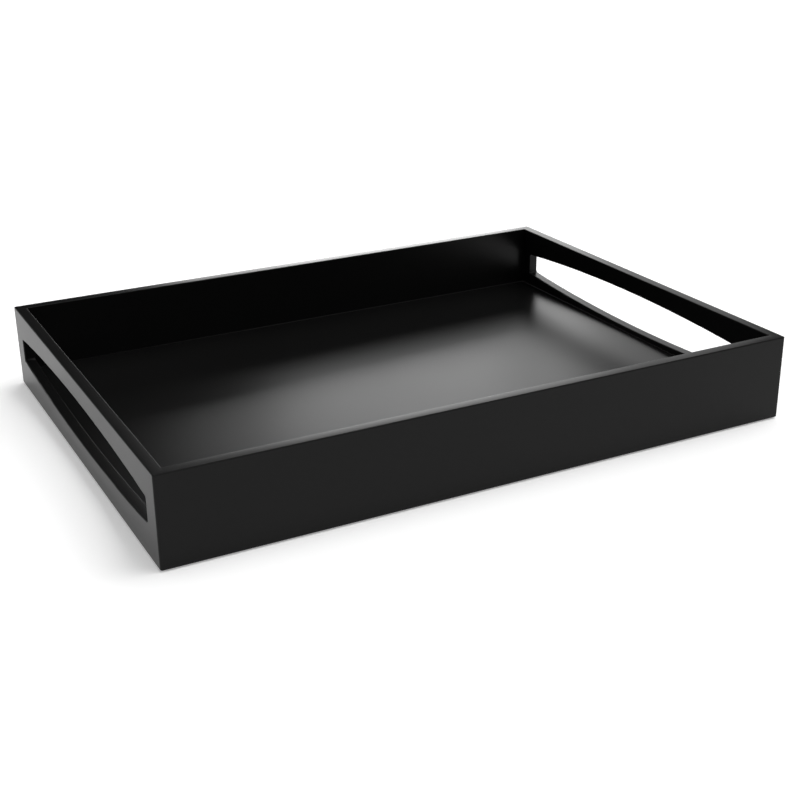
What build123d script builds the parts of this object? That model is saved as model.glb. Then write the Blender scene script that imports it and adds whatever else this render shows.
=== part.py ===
from build123d import *
import os

# A rectangular serving tray in lacquered fibreboard, with a bowed hand slot in each short end.
#
# Four mitred boards stand round a floor panel whose tongue sits in their grooves. Blind splines hold the
# mitres, and four rubber feet under the panel carry the tray. All sizes are in millimetres. The tray stands
# on Z 0 with the origin under its middle, its long sides along X and its front towards -Y.

os.makedirs("parts", exist_ok=True)

# The tray as a whole. Its edge is the underside of the boards, which the feet hold just off the table.
tray_length = 460.0
tray_width = 334.0
side_height = 61.0
board_thickness = 8.0
foot_stand_off = 1.0

inside_length = tray_length - 2 * board_thickness
inside_width = tray_width - 2 * board_thickness
edge_level = foot_stand_off
rim_level = edge_level + side_height

# How far a cutter runs past the wood
overrun = 2.0

# Each corner's name, and the way it lies from the middle of the tray
corners = [
    ("front_left", -1, -1),
    ("front_right", 1, -1),
    ("back_left", -1, 1),
    ("back_right", 1, 1),
]
mitre_angle = 45

# Floor panel: a flat board between the sides, with a tongue all round for their grooves
floor_thickness = 9.0
floor_recess = 3.5
tongue_thickness = 4.0
tongue_depth = 4.0
tongue_step = 2.5
panel_level = edge_level + floor_recess
tongue_level = panel_level + tongue_step

with BuildPart() as floor_panel:
    with BuildSketch(Plane.XY.offset(panel_level)):
        Rectangle(inside_length, inside_width)
    extrude(amount=floor_thickness)
    with BuildSketch(Plane.XY.offset(tongue_level)):
        Rectangle(inside_length + 2 * tongue_depth, inside_width + 2 * tongue_depth)
    extrude(amount=tongue_thickness)
floor_panel.part.label = "floor_panel"
export_step(floor_panel.part, "parts/floor_panel.step")

# The groove in the sides, a little deeper and wider than the tongue, which rests on its lower face
groove_clearance = 0.3
groove_play = 0.1
groove_reach = tongue_depth + groove_clearance
groove_height = tongue_thickness + groove_play
groove_top = tongue_level + groove_height

# Splines: loose tongues square across each mitre, above the groove and blind below the rim. The share
# sets a spline back from the inside corner, as a part of the board's thickness.
spline_thickness = 3.0
spline_bite = 3.0
spline_setback_share = 0.4
spline_above_groove = 3.0
spline_below_rim = 10.0
spline_clearance = 0.1
spline_level = groove_top + spline_above_groove
spline_height = rim_level - spline_below_rim - spline_level
spline_x = inside_length / 2 + board_thickness * spline_setback_share
spline_y = inside_width / 2 + board_thickness * spline_setback_share

for corner, way_x, way_y in corners:
    with BuildPart() as spline:
        with BuildSketch(Plane.XY.offset(spline_level)):
            with Locations((way_x * spline_x, way_y * spline_y)):
                Rectangle(2 * spline_bite, spline_thickness, rotation=-way_x * way_y * mitre_angle)
        extrude(amount=spline_height)
    spline.part.label = "spline_" + corner
    export_step(spline.part, "parts/spline_" + corner + ".step")

# Hand slot: short square ends, an upper edge that bows up and a lower edge that bows down, each an arc.
# The posts are the solid wood between the slot's ends and the tray's inside corners.
slot_post = 10.0
slot_end_height = 16.8
slot_middle_height = 30.4
slot_lift = 1.0
slot_corner_round = 2.0
slot_edge_round = 0.8
slot_half_length = inside_width / 2 - slot_post
slot_level = edge_level + side_height / 2 + slot_lift
slot_end = slot_end_height / 2
slot_bow = slot_middle_height / 2

with BuildSketch() as hand_slot:
    with BuildLine():
        ThreePointArc((-slot_half_length, slot_end), (0, slot_bow), (slot_half_length, slot_end))
        Line((slot_half_length, slot_end), (slot_half_length, -slot_end))
        ThreePointArc((slot_half_length, -slot_end), (0, -slot_bow), (-slot_half_length, -slot_end))
        Line((-slot_half_length, -slot_end), (-slot_half_length, slot_end))
    make_face()
    fillet(hand_slot.vertices(), slot_corner_round)

# The frame as it is when glued up, shaped as one so that its roundings run across the mitres, as they do
# when a frame is sanded after gluing. The upright corners are sanded most and the inside edges least.
corner_round = 1.5
outer_edge_round = 0.8
inner_edge_round = 0.5

with BuildPart() as frame:
    with BuildSketch(Plane.XY.offset(edge_level)):
        Rectangle(tray_length, tray_width)
        Rectangle(inside_length, inside_width, mode=Mode.SUBTRACT)
    extrude(amount=side_height)
    outer_faces = [frame.faces().sort_by(axis)[end] for axis in (Axis.X, Axis.Y) for end in (0, -1)]
    fillet(ShapeList(outer_faces).edges().filter_by(Axis.Z), corner_round)
    rim = frame.faces().sort_by(Axis.Z)[-1]
    underside = frame.faces().sort_by(Axis.Z)[0]
    outer_edges = rim.outer_wire().edges() + underside.outer_wire().edges()
    inner_edges = rim.inner_wires().edges() + underside.inner_wires().edges()
    fillet(outer_edges, outer_edge_round)
    fillet(inner_edges, inner_edge_round)

    # The groove for the floor panel
    with BuildSketch(Plane.XY.offset(tongue_level)):
        Rectangle(inside_length + 2 * groove_reach, inside_width + 2 * groove_reach)
    extrude(amount=groove_height, mode=Mode.SUBTRACT)

    # The hand slots, cut through both ends in one pass, and eased on every edge
    with BuildSketch(Plane.YZ.offset(-tray_length / 2 - overrun)):
        with Locations((0, slot_level)):
            add(hand_slot.sketch)
    extrude(amount=tray_length + 2 * overrun, mode=Mode.SUBTRACT)
    slotted_faces = frame.faces().filter_by(Axis.X).filter_by(lambda face: face.inner_wires())
    slot_rims = ShapeList([wire for face in slotted_faces for wire in face.inner_wires()])
    fillet(slot_rims.edges(), slot_edge_round)

    # The blind slots for the splines
    with BuildSketch(Plane.XY.offset(spline_level - spline_clearance)):
        for corner, way_x, way_y in corners:
            with Locations((way_x * spline_x, way_y * spline_y)):
                Rectangle(
                    2 * (spline_bite + spline_clearance),
                    spline_thickness + 2 * spline_clearance,
                    rotation=-way_x * way_y * mitre_angle,
                )
    extrude(amount=spline_height + 2 * spline_clearance, mode=Mode.SUBTRACT)

# The four boards, parted at the mitres. Each has its name, the tray's size along it and across it, and its
# turn about Z from the front.
boards = [
    ("front_side", tray_length, tray_width, 0),
    ("right_end", tray_width, tray_length, 90),
    ("back_side", tray_length, tray_width, 180),
    ("left_end", tray_width, tray_length, 270),
]
mitre_reach = 2 * board_thickness

for board_name, along, across, turn in boards:
    with BuildPart() as board:
        add(frame.part)
        with BuildSketch(Plane.XY.rotated((0, 0, turn))):
            with BuildLine():
                Polyline(
                    (-along / 2 - overrun, -across / 2 - overrun),
                    (along / 2 + overrun, -across / 2 - overrun),
                    (along / 2 - mitre_reach, -across / 2 + mitre_reach),
                    (-along / 2 + mitre_reach, -across / 2 + mitre_reach),
                    close=True,
                )
            make_face()
        extrude(amount=rim_level + overrun, mode=Mode.INTERSECT)
    board.part.label = board_name
    export_step(board.part, "parts/" + board_name + ".step")

# Rubber feet: tapered discs stuck under the floor panel, in from the corners
foot_diameter = 18.0
foot_tip_diameter = 16.0
foot_edge_round = 0.8
foot_inset = 24.0
foot_x = inside_length / 2 - foot_inset
foot_y = inside_width / 2 - foot_inset

for corner, way_x, way_y in corners:
    with BuildPart() as foot:
        for level, diameter in ((0, foot_tip_diameter), (panel_level, foot_diameter)):
            with BuildSketch(Plane.XY.offset(level)):
                with Locations((way_x * foot_x, way_y * foot_y)):
                    Circle(diameter / 2)
        loft()
        fillet(foot.edges().group_by(Axis.Z)[0], foot_edge_round)
    foot.part.label = "foot_" + corner
    export_step(foot.part, "parts/foot_" + corner + ".step")
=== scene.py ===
import math

import bpy
from mathutils import Matrix, Vector


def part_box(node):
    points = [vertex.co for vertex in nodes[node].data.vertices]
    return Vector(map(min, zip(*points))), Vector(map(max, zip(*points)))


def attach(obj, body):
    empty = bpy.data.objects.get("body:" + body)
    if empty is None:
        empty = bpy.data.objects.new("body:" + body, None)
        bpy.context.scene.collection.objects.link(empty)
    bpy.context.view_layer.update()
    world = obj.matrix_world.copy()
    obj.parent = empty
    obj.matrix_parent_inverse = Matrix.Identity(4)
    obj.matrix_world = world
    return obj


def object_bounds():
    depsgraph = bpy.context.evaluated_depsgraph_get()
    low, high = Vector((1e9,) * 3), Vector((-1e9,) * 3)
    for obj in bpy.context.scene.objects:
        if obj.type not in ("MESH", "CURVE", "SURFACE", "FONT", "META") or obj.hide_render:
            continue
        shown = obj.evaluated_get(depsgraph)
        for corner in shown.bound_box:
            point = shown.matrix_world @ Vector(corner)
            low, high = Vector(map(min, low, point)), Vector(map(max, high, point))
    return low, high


# A lacquered serving tray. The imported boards, floor panel, splines and feet are the frame, in metres,
# with the tray's long sides along X and its front towards -Y. Only the camera's own sizes are in mm.
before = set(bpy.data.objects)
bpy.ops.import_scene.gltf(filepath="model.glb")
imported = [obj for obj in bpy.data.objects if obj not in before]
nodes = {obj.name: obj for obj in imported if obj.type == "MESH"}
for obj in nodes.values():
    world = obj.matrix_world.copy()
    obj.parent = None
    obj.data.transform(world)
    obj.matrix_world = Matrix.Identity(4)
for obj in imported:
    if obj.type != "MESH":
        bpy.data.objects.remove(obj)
cad_low, cad_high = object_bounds()
mm = 0.001


# The frame: four fibreboard boards, mitred, splined and glued round the floor panel, then sanded flush
# and sprayed as one, so that the film runs across each mitre and round each eased edge with no joint.
boards = ["front_side", "right_end", "back_side", "left_end"]


def to_linear(hex_colour):
    """The linear colour, with alpha, of an sRGB hex value."""
    channels = [int(hex_colour[i : i + 2], 16) / 255 for i in (1, 3, 5)]
    linear = [c / 12.92 if c <= 0.04045 else ((c + 0.055) / 1.055) ** 2.4 for c in channels]
    return linear + [1.0]


def add_node(tree, kind, settings=None, links=None):
    """Adds a node. A setting is one of its properties or an input's value, and a link feeds an input."""
    node = tree.nodes.new(kind)
    for name, value in (settings or {}).items():
        if isinstance(name, str) and hasattr(node, name):
            setattr(node, name, value)
        else:
            node.inputs[name].default_value = value
    for name, (source, output) in (links or {}).items():
        tree.links.new(source.outputs[output], node.inputs[name])
    return node


def new_material(name):
    """An empty node material and its tree."""
    material = bpy.data.materials.new(name)
    material.use_nodes = True
    material.node_tree.nodes.clear()
    return material, material.node_tree


def dress(piece, material):
    """Puts a material on every face of a piece."""
    piece.data.materials.clear()
    piece.data.materials.append(material)


# Satin black lacquer, sprayed over sealed fibreboard, gives a deep black with a soft mirror, which shows
# a lamp's shape with a blurred edge. The matting grain in it also weakens the mirror, so its specular
# level is matched well below the 0.5 of a clear lacquer.
def satin_lacquer(name, smoothest, roughest):
    """The lacquer's material, its tree, and those nodes that a board's crown and rubbed edges need."""
    # The spray leaves a very faint orange peel, and broad patches that dry a little duller
    peel_size = 2.4 * mm
    peel_height = 0.0012 * mm
    sheen_patch = 70 * mm
    material, tree = new_material(name)
    place = add_node(tree, "ShaderNodeTexCoord")
    peel = add_node(
        tree,
        "ShaderNodeTexNoise",
        {"Scale": 1 / peel_size, "Detail": 2.0, "Roughness": 0.4},
        {"Vector": (place, "Object")},
    )
    film = add_node(
        tree, "ShaderNodeBump", {"Strength": 1.0, "Distance": peel_height}, {"Height": (peel, "Fac")}
    )
    cloud = add_node(
        tree,
        "ShaderNodeTexNoise",
        {"Scale": 1 / sheen_patch, "Detail": 3.0, "Roughness": 0.55},
        {"Vector": (place, "Object")},
    )
    sheen = add_node(
        tree,
        "ShaderNodeMapRange",
        {"From Min": 0.3, "From Max": 0.7, "To Min": smoothest, "To Max": roughest},
        {"Value": (cloud, "Fac")},
    )
    pigment = add_node(
        tree,
        "ShaderNodeMix",
        {"data_type": "RGBA", 6: to_linear("#0C0C0C"), 7: to_linear("#0F0F0F")},
        {"Factor": (cloud, "Fac")},
    )
    lacquer = add_node(
        tree,
        "ShaderNodeBsdfPrincipled",
        {"IOR": 1.5, "Specular IOR Level": 0.155},
        {"Base Color": (pigment, 2), "Roughness": (sheen, "Result"), "Normal": (film, "Normal")},
    )
    add_node(tree, "ShaderNodeOutputMaterial", None, {"Surface": (lacquer, "BSDF")})
    return material, tree, place, film, sheen, lacquer


board_lacquer, film_tree, place, film, sheen, lacquer = satin_lacquer(
    "satin_lacquer_on_boards", smoothest=0.277, roughest=0.30
)

# Sanding leaves the rim very slightly crowned, which draws each lamp out across it. A point's height
# falls with the square of its distance from the middle line of its board.
crown_height = 0.07 * mm
board_low, board_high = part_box("front_side")
board_thickness = board_high.y - board_low.y
split = add_node(film_tree, "ShaderNodeSeparateXYZ", None, {"Vector": (place, "Object")})
off_lines = []
for axis, half_size in (("X", cad_high.x), ("Y", cad_high.y)):
    from_centre = add_node(film_tree, "ShaderNodeMath", {"operation": "ABSOLUTE"}, {0: (split, axis)})
    off = add_node(
        film_tree,
        "ShaderNodeMath",
        {"operation": "SUBTRACT", 1: half_size - board_thickness / 2},
        {0: (from_centre, 0)},
    )
    off_lines.append((off, 0))
off_end_line, off_side_line = off_lines
off_line = add_node(
    film_tree, "ShaderNodeMath", {"operation": "MAXIMUM"}, {0: off_end_line, 1: off_side_line}
)
share = add_node(
    film_tree, "ShaderNodeMath", {"operation": "DIVIDE", 1: board_thickness / 2}, {0: (off_line, 0)}
)
square = add_node(
    film_tree, "ShaderNodeMath", {"operation": "MULTIPLY"}, {0: (share, 0), 1: (share, 0)}
)
fall = add_node(film_tree, "ShaderNodeMath", {"operation": "SUBTRACT", 0: 1.0}, {1: (square, 0)})
crown = add_node(
    film_tree,
    "ShaderNodeBump",
    {"Strength": 1.0, "Distance": crown_height},
    {"Height": (fall, 0), "Normal": (film, "Normal")},
)
film_tree.links.new(crown.outputs["Normal"], lacquer.inputs["Normal"])

# Hands that hold the ends by their slots rub the rounded inner edges of slot and rim dull. The rub
# starts just behind a board's inner face, so the face keeps its sheen, and stops at the long sides.
rub_start, rub_end = 0.05 * mm, 0.8 * mm
rub_dulling = 0.3
inner_face = -board_thickness / 2
near_face = add_node(
    film_tree,
    "ShaderNodeMath",
    {
        "operation": "COMPARE",
        1: inner_face + (rub_start + rub_end) / 2,
        2: (rub_end - rub_start) / 2,
    },
    {0: off_end_line},
)
between_sides = add_node(
    film_tree, "ShaderNodeMath", {"operation": "LESS_THAN", 1: inner_face}, {0: off_side_line}
)
rubbed = add_node(
    film_tree,
    "ShaderNodeMath",
    {"operation": "MULTIPLY"},
    {0: (near_face, 0), 1: (between_sides, 0)},
)
dulled = add_node(
    film_tree,
    "ShaderNodeMath",
    {"operation": "MULTIPLY_ADD", 1: rub_dulling},
    {0: (rubbed, 0), 2: (sheen, "Result")},
)
film_tree.links.new(dulled.outputs[0], lacquer.inputs["Roughness"])
for name in boards:
    dress(nodes[name], board_lacquer)


# The floor panel: one flat fibreboard whose tongue sits in the boards' grooves, lacquered with them.
# Where it meets them, the lacquer pools in the corner as a fine bead that catches a line of light.
floor_lacquer = satin_lacquer("satin_lacquer_on_floor", smoothest=0.277, roughest=0.29)[0]
dress(nodes["floor_panel"], floor_lacquer)

floor_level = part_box("floor_panel")[1].z
bead_sizes = {
    "Inside Length": 2 * (cad_high.x - board_thickness),
    "Inside Width": 2 * (cad_high.y - board_thickness),
    "Floor Level": floor_level,
    "Reach": 0.4 * mm,
    "Bite": 0.05 * mm,
    "Steps": 6,
}
bead = bpy.data.node_groups.new("lacquer_bead", "GeometryNodeTree")
bead.is_modifier = True
for name in bead_sizes:
    kind = "NodeSocketInt" if name == "Steps" else "NodeSocketFloat"
    bead.interface.new_socket(name, in_out="INPUT", socket_type=kind)
bead.interface.new_socket("Geometry", in_out="OUTPUT", socket_type="NodeSocketGeometry")

# The bead's way round the foot of the boards
given = add_node(bead, "NodeGroupInput")
inside = add_node(
    bead,
    "GeometryNodeCurvePrimitiveQuadrilateral",
    {"mode": "RECTANGLE"},
    {"Width": (given, "Inside Length"), "Height": (given, "Inside Width")},
)
rise = add_node(bead, "ShaderNodeCombineXYZ", None, {"Z": (given, "Floor Level")})
on_floor = add_node(
    bead, "GeometryNodeTransform", None, {"Geometry": (inside, 0), "Translation": (rise, 0)}
)
way_round = add_node(bead, "GeometryNodeSetCurveNormal", {"mode": "Z_UP"}, {"Curve": (on_floor, 0)})

# The bead's outline: a hollow quarter round from the floor up to the board, of so many steps that reach
# so far, and one last point that bites into the wood
point_count = add_node(bead, "ShaderNodeMath", {"operation": "ADD", 1: 2.0}, {0: (given, "Steps")})
ring = add_node(
    bead, "GeometryNodeCurvePrimitiveCircle", {"mode": "RADIUS"}, {"Resolution": (point_count, 0)}
)
number = add_node(bead, "GeometryNodeInputIndex")
part = add_node(
    bead, "ShaderNodeMath", {"operation": "DIVIDE"}, {0: (number, 0), 1: (given, "Steps")}
)
angle = add_node(bead, "ShaderNodeMath", {"operation": "MULTIPLY", 1: math.pi / 2}, {0: (part, 0)})
sine = add_node(bead, "ShaderNodeMath", {"operation": "SINE"}, {0: (angle, 0)})
cosine = add_node(bead, "ShaderNodeMath", {"operation": "COSINE"}, {0: (angle, 0)})
inward = add_node(bead, "ShaderNodeMath", {"operation": "SUBTRACT", 0: 1.0}, {1: (sine, 0)})
upward = add_node(bead, "ShaderNodeMath", {"operation": "SUBTRACT", 0: 1.0}, {1: (cosine, 0)})
hollow = add_node(bead, "ShaderNodeCombineXYZ", None, {"X": (inward, 0), "Y": (upward, 0)})
face = add_node(
    bead, "ShaderNodeVectorMath", {"operation": "SCALE"}, {0: (hollow, 0), "Scale": (given, "Reach")}
)
depth = add_node(bead, "ShaderNodeMath", {"operation": "MULTIPLY", 1: -1.0}, {0: (given, "Bite")})
in_wood = add_node(bead, "ShaderNodeCombineXYZ", None, {"X": (depth, 0), "Y": (depth, 0)})
is_last = add_node(
    bead, "ShaderNodeMath", {"operation": "GREATER_THAN"}, {0: (number, 0), 1: (given, "Steps")}
)
outline = add_node(
    bead,
    "ShaderNodeMix",
    {"data_type": "VECTOR"},
    {"Factor": (is_last, 0), 4: (face, 0), 5: (in_wood, 0)},
)
# The sweep puts X outward and Y down, so both are turned round. At a mitre it sets the outline askew,
# so the outline is drawn longer outward by root 2.
turned = add_node(
    bead,
    "ShaderNodeVectorMath",
    {"operation": "MULTIPLY", 1: (-math.sqrt(2), -1.0, 1.0)},
    {0: (outline, 1)},
)
profile = add_node(
    bead, "GeometryNodeSetPosition", None, {"Geometry": (ring, 0), "Position": (turned, 0)}
)
swept = add_node(
    bead, "GeometryNodeCurveToMesh", None, {"Curve": (way_round, 0), "Profile Curve": (profile, 0)}
)
real = add_node(bead, "GeometryNodeRealizeInstances", None, {"Geometry": (swept, 0)})
dressed = add_node(
    bead, "GeometryNodeSetMaterial", {"Material": floor_lacquer}, {"Geometry": (real, 0)}
)
add_node(bead, "NodeGroupOutput", None, {"Geometry": (dressed, 0)})

corner_bead = bpy.data.objects.new("floor_lacquer_bead", bpy.data.meshes.new("bare"))
bpy.context.scene.collection.objects.link(corner_bead)
sweep = corner_bead.modifiers.new("lacquer_bead", "NODES")
sweep.node_group = bead
for socket in bead.interface.items_tree:
    if socket.in_out == "INPUT":
        sweep[socket.identifier] = bead_sizes[socket.name]
evaluated = corner_bead.evaluated_get(bpy.context.evaluated_depsgraph_get())
bead_mesh = bpy.data.meshes.new_from_object(evaluated)
corner_bead.modifiers.remove(sweep)
corner_bead.data = bead_mesh
dress(corner_bead, floor_lacquer)
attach(corner_bead, "root")


# The splines: loose tongues of birch plywood, glued blind across the mitres, so they never show. Bare
# sawn plywood shows its veneers as pale and darker bands, with fine grain along them.
splines = ["spline_front_left", "spline_front_right", "spline_back_left", "spline_back_right"]
spline_low, spline_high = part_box("spline_back_right")
veneer_thickness = 1.0 * mm
grain_width = 0.5 * mm
grain_stretch = 12.5
fibre_height = 0.03 * mm
plywood, ply = new_material("bare_birch_plywood")
place = add_node(ply, "ShaderNodeTexCoord")
parts = add_node(ply, "ShaderNodeSeparateXYZ", None, {"Vector": (place, "Object")})
way_across = add_node(ply, "ShaderNodeMath", {"operation": "ABSOLUTE"}, {0: (parts, "X")})
way_along = add_node(ply, "ShaderNodeMath", {"operation": "ABSOLUTE"}, {0: (parts, "Y")})
# The splines mirror each other, so the two distances from the tray's middle, added, run through each
# one's veneers
through = add_node(
    ply, "ShaderNodeMath", {"operation": "ADD"}, {0: (way_across, 0), 1: (way_along, 0)}
)
spline_middle = (spline_low.x + spline_high.x + spline_low.y + spline_high.y) / 2
from_middle = add_node(
    ply, "ShaderNodeMath", {"operation": "SUBTRACT", 1: spline_middle}, {0: (through, 0)}
)
ply_number = add_node(
    ply,
    "ShaderNodeMath",
    {"operation": "DIVIDE", 1: veneer_thickness * math.sqrt(2)},
    {0: (from_middle, 0)},
)
core_or_face = add_node(ply, "ShaderNodeMath", {"operation": "ABSOLUTE"}, {0: (ply_number, 0)})
# The middle veneer reaches half a veneer to either side
core = add_node(ply, "ShaderNodeMath", {"operation": "LESS_THAN", 1: 0.5}, {0: (core_or_face, 0)})
stretch = add_node(
    ply,
    "ShaderNodeMapping",
    {"Scale": (1.0, 1.0, 1 / grain_stretch)},
    {"Vector": (place, "Object")},
)
grain = add_node(
    ply,
    "ShaderNodeTexNoise",
    {"Scale": 1 / grain_width, "Detail": 4.0, "Roughness": 0.6},
    {"Vector": (stretch, "Vector")},
)
veneer = add_node(
    ply,
    "ShaderNodeMix",
    {"data_type": "RGBA", 6: to_linear("#D9BE93"), 7: to_linear("#C7A678")},
    {"Factor": (core, 0)},
)
streak = add_node(
    ply,
    "ShaderNodeMapRange",
    {"From Min": 0.35, "From Max": 0.7, "To Min": 1.0, "To Max": 0.82},
    {"Value": (grain, "Fac")},
)
figured = add_node(
    ply, "ShaderNodeHueSaturation", None, {"Value": (streak, "Result"), "Color": (veneer, 2)}
)
fibres = add_node(
    ply, "ShaderNodeBump", {"Strength": 0.6, "Distance": fibre_height}, {"Height": (grain, "Fac")}
)
wood = add_node(
    ply,
    "ShaderNodeBsdfPrincipled",
    {"Roughness": 0.62, "IOR": 1.5},
    {"Base Color": (figured, "Color"), "Normal": (fibres, "Normal")},
)
add_node(ply, "ShaderNodeOutputMaterial", None, {"Surface": (wood, "BSDF")})
for name in splines:
    dress(nodes[name], plywood)


# The feet: four moulded rubber discs stuck under the floor panel, in from its corners. The mould is
# spark eroded, so the rubber is matt, with a fine even grain that greys it slightly.
feet = ["foot_front_left", "foot_front_right", "foot_back_left", "foot_back_right"]
spark_grain = 0.35 * mm
spark_depth = 0.05 * mm
foot_rubber, rubber = new_material("moulded_rubber")
place = add_node(rubber, "ShaderNodeTexCoord")
mould_grain = add_node(
    rubber,
    "ShaderNodeTexNoise",
    {"Scale": 1 / spark_grain, "Detail": 3.0, "Roughness": 0.6},
    {"Vector": (place, "Object")},
)
bloom = add_node(
    rubber,
    "ShaderNodeMix",
    {"data_type": "RGBA", 6: to_linear("#1B1B1C"), 7: to_linear("#262627")},
    {"Factor": (mould_grain, "Fac")},
)
matt = add_node(
    rubber,
    "ShaderNodeMapRange",
    {"From Min": 0.3, "From Max": 0.7, "To Min": 0.62, "To Max": 0.74},
    {"Value": (mould_grain, "Fac")},
)
pitted = add_node(
    rubber,
    "ShaderNodeBump",
    {"Strength": 0.5, "Distance": spark_depth},
    {"Height": (mould_grain, "Fac")},
)
foot_shader = add_node(
    rubber,
    "ShaderNodeBsdfPrincipled",
    {"IOR": 1.52},
    {"Base Color": (bloom, 2), "Roughness": (matt, "Result"), "Normal": (pitted, "Normal")},
)
add_node(rubber, "ShaderNodeOutputMaterial", None, {"Surface": (foot_shader, "BSDF")})
for name in feet:
    dress(nodes[name], foot_rubber)


# The table: plain white card, matt, which the tray's feet stand on and its sides mirror. What looks at
# it, or mirrors it, sees it a shade lighter, so that it is white and keeps the tray's soft shadow.
half_table = 8.0
card_lift = 0.3


def looked_at(tree):
    """A link that is 1 for what the camera, a mirror image or glass shows, and 0 for other light."""
    ray = add_node(tree, "ShaderNodeLightPath")
    shown = (ray, "Is Camera Ray")
    for look in ("Is Glossy Ray", "Is Transmission Ray"):
        either = add_node(
            tree, "ShaderNodeMath", {"operation": "ADD", "use_clamp": True}, {0: shown, 1: (ray, look)}
        )
        shown = (either, 0)
    return shown


card, card_tree = new_material("white_card")
lift = add_node(
    card_tree, "ShaderNodeMath", {"operation": "MULTIPLY", 1: card_lift}, {0: looked_at(card_tree)}
)
glow = add_node(
    card_tree, "ShaderNodeEmission", {"Color": to_linear("#FFFFFF")}, {"Strength": (lift, 0)}
)
paper = add_node(card_tree, "ShaderNodeBsdfDiffuse", {"Color": to_linear("#F8F8F8"), "Roughness": 0.0})
lifted = add_node(card_tree, "ShaderNodeAddShader", None, {0: (paper, "BSDF"), 1: (glow, "Emission")})
add_node(card_tree, "ShaderNodeOutputMaterial", None, {"Surface": (lifted, "Shader")})
table_mesh = bpy.data.meshes.new("table")
table_corners = [(x * half_table, y * half_table, 0) for x, y in ((-1, -1), (1, -1), (1, 1), (-1, 1))]
table_mesh.from_pydata(table_corners, [], [(0, 1, 2, 3)])
table = bpy.data.objects.new("table", table_mesh)
bpy.context.scene.collection.objects.link(table)
dress(table, card)


# The studio's air: white to look at. The soft light that it gives comes mostly from high on the tray's
# right, and a little from everywhere.
def bearing(azimuth, elevation):
    """The way from the tray to a light, in degrees, azimuth 0 being behind it and 90 on its right."""
    a, e = math.radians(azimuth), math.radians(elevation)
    return Vector((math.sin(a) * math.cos(e), math.cos(a) * math.cos(e), math.sin(e)))


fill_way = bearing(azimuth=100, elevation=68)
fill_narrowness = 12.0
fill_there, fill_everywhere = 4.55, 0.26
world = bpy.data.worlds.new("studio_air")
bpy.context.scene.world = world
world.use_nodes = True
air = world.node_tree
air.nodes.clear()
shown = looked_at(air)
way = add_node(air, "ShaderNodeTexCoord")
facing = add_node(
    air, "ShaderNodeVectorMath", {"operation": "DOT_PRODUCT", 1: fill_way}, {0: (way, "Generated")}
)
ahead_only = add_node(air, "ShaderNodeMath", {"operation": "MAXIMUM", 1: 0.0}, {0: (facing, "Value")})
gathered = add_node(
    air, "ShaderNodeMath", {"operation": "POWER", 1: fill_narrowness}, {0: (ahead_only, 0)}
)
fill_strength = add_node(
    air,
    "ShaderNodeMath",
    {"operation": "MULTIPLY_ADD", 1: fill_there, 2: fill_everywhere},
    {0: (gathered, 0)},
)
soft_fill = add_node(
    air, "ShaderNodeBackground", {"Color": to_linear("#FFFFFF")}, {"Strength": (fill_strength, 0)}
)
white_air = add_node(air, "ShaderNodeBackground", {"Color": to_linear("#FFFFFF"), "Strength": 1.0})
air_shader = add_node(
    air, "ShaderNodeMixShader", None, {0: shown, 1: (soft_fill, 0), 2: (white_air, 0)}
)
add_node(air, "ShaderNodeOutputWorld", None, {"Surface": (air_shader, 0)})


# The lamps: three flat ones with soft fronts, low behind the tray on its right. Their fronts overlap, so
# that the lacquer mirrors them as one soft bright patch.
lamp_distance = 1.6


def soft_lamp(name, azimuth, elevation, width, height, radiance):
    """A flat lamp that faces the tray. Its power comes from the brightness of its front."""
    lamp = bpy.data.lights.new(name, "AREA")
    lamp.shape = "RECTANGLE"
    lamp.size, lamp.size_y = width, height
    lamp.energy = radiance * math.pi * width * height
    holder = bpy.data.objects.new(name, lamp)
    bpy.context.scene.collection.objects.link(holder)
    out = bearing(azimuth, elevation)
    facing_tray = out.to_track_quat("Z", "Y").to_matrix().to_4x4()
    holder.matrix_world = Matrix.Translation(out * lamp_distance) @ facing_tray
    holder.visible_camera = False


soft_lamp("bright_lamp_behind", azimuth=23.9, elevation=11.2, width=0.64, height=0.52, radiance=4.2)
soft_lamp("tall_lamp_behind", azimuth=30.2, elevation=15.6, width=0.60, height=0.81, radiance=2.44)
soft_lamp("faint_lamp_behind", azimuth=45.7, elevation=16.4, width=0.38, height=0.65, radiance=1.17)


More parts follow.
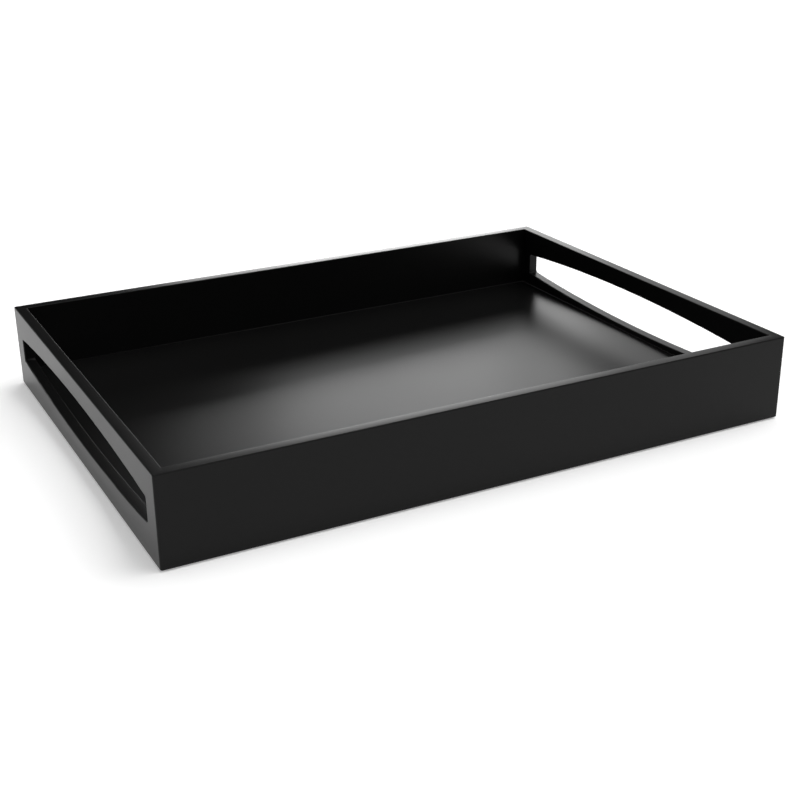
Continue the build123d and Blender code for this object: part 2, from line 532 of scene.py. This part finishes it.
# The studio's walls: dark on the right and behind the lamps, grey on the left and in front, which the
# lacquer mirrors. Only mirror images show them, and they throw no shadow.
wall_foot, wall_top = 0.01, 3.2
front_left, front_right = (-3.2, -3.0), (3.2, -3.0)
back_left, back_right = (-3.2, 2.4), (3.2, 2.4)
dark_edge = (-0.35, 2.4)


def studio_wall(name, brightness, corners):
    """An evenly lit upright wall along a run of corners."""
    material, tree = new_material(name)
    glow = add_node(
        tree, "ShaderNodeEmission", {"Color": to_linear("#FFFFFF"), "Strength": brightness}
    )
    add_node(tree, "ShaderNodeOutputMaterial", None, {"Surface": (glow, "Emission")})
    count = len(corners)
    points = [(x, y, z) for z in (wall_foot, wall_top) for x, y in corners]
    mesh = bpy.data.meshes.new(name)
    mesh.from_pydata(points, [], [(i, i + 1, count + i + 1, count + i) for i in range(count - 1)])
    wall = bpy.data.objects.new(name, mesh)
    bpy.context.scene.collection.objects.link(wall)
    dress(wall, material)
    wall.visible_camera = False
    wall.visible_diffuse = False
    wall.visible_shadow = False


studio_wall("dark_walls_right", 0.02, [front_right, back_right, dark_edge])
studio_wall("grey_walls_left", 0.42, [dark_edge, back_left, front_left, front_right])


# The camera: a short telephoto at the photograph's place, looking down on the tray from its front left
camera_place = Vector((-0.418264, -0.828805, 0.388317))
yaw, pitch, roll = math.radians(27.44678), math.radians(22.72574), math.radians(-0.62152)
ahead = Vector(
    (math.sin(yaw) * math.cos(pitch), math.cos(yaw) * math.cos(pitch), -math.sin(pitch))
)
level = Vector((math.cos(yaw), -math.sin(yaw), 0))
upright = level.cross(ahead)
right = level * math.cos(roll) + upright * math.sin(roll)
up = upright * math.cos(roll) - level * math.sin(roll)
camera_data = bpy.data.cameras.new("camera")
camera_data.sensor_width = 36
camera_data.lens = 60.651
camera_data.clip_start, camera_data.clip_end = 0.05, 50
camera = bpy.data.objects.new("camera", camera_data)
bpy.context.scene.collection.objects.link(camera)
turn = Matrix((right, up, -ahead)).transposed().to_4x4()
camera.matrix_world = Matrix.Translation(camera_place) @ turn
bpy.context.scene.camera = camera
bpy.context.scene.view_settings.view_transform = "Standard"
